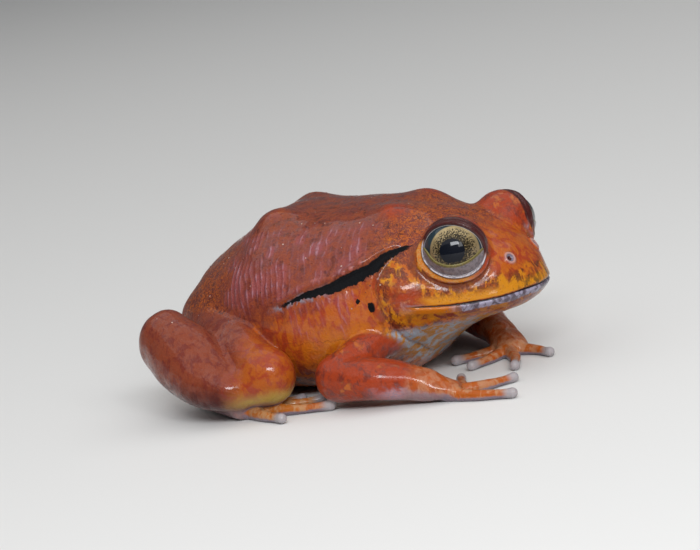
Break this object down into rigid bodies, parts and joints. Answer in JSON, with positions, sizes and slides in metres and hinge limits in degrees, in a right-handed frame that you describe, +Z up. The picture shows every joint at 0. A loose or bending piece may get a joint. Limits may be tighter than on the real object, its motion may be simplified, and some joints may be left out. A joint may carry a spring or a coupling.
{
  "type": "tomato frog",
  "caption": "Life-size still model of a grown tomato frog sitting with its limbs folded and its head raised.",
  "frame": {"origin": "on the floor, under the middle of the whole frog's box", "axes": "+X towards the snout, +Y towards the frog's left side, +Z up"},
  "size_m": [0.0858, 0.084, 0.0387],
  "materials": {
    "skin": "wet brick-red skin mottled with orange",
    "throat_skin": "wet orange-yellow skin mottled with grey",
    "digit_skin": "wet orange skin, grey-violet underneath",
    "eye": "clear, mirror-smooth, gold iris and black pupil"
  },
  "bodies": {
    "root": {"torso": "skin", "head": "skin", "lower_jaw": "throat_skin", "eye_right": "eye", "eye_left": "eye", "upper_arm_right": "skin", "forearm_right": "skin", "hand_right": "digit_skin", "thigh_right": "skin", "shank_right": "skin", "foot_right": "digit_skin", "upper_arm_left": "skin", "forearm_left": "skin", "hand_left": "digit_skin", "thigh_left": "skin", "shank_left": "skin", "foot_left": "digit_skin"}
  },
  "joints": []
}
